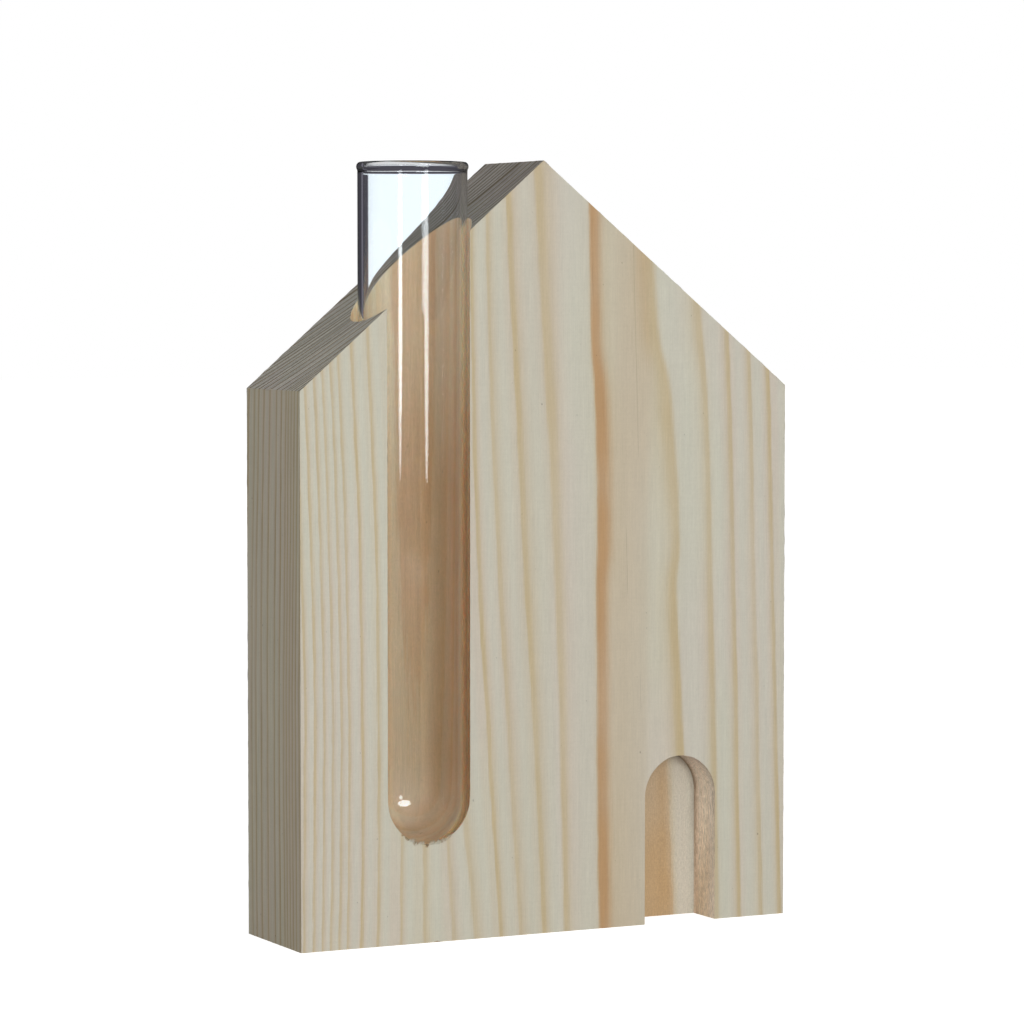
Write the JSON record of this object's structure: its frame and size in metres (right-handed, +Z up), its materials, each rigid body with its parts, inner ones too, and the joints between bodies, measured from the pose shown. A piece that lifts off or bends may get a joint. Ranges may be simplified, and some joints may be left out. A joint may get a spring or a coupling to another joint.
{
  "type": "bud vase",
  "caption": "House-shaped pine block with an arched doorway recess and a round-bottomed glass tube that stands in a bore opening through the front.",
  "frame": {"origin": "middle of the block's flat base, on the surface that it stands on", "axes": "+Z up, -Y is the front with the doorway, +X to the right seen from the front"},
  "size_m": [0.1, 0.0268, 0.142],
  "materials": {
    "pine": "bare sanded pine, vertical grain",
    "clear_glass": "clear, fire-polished rim"
  },
  "bodies": {
    "block": {"house_block": "pine"},
    "tube": {"glass_tube": "clear_glass"}
  },
  "joints": [
    {"name": "tube_lift", "type": "slide", "parent": "block", "child": "tube", "axis": [0, 0, 1], "range_m": [0, 0.13]}
  ]
}
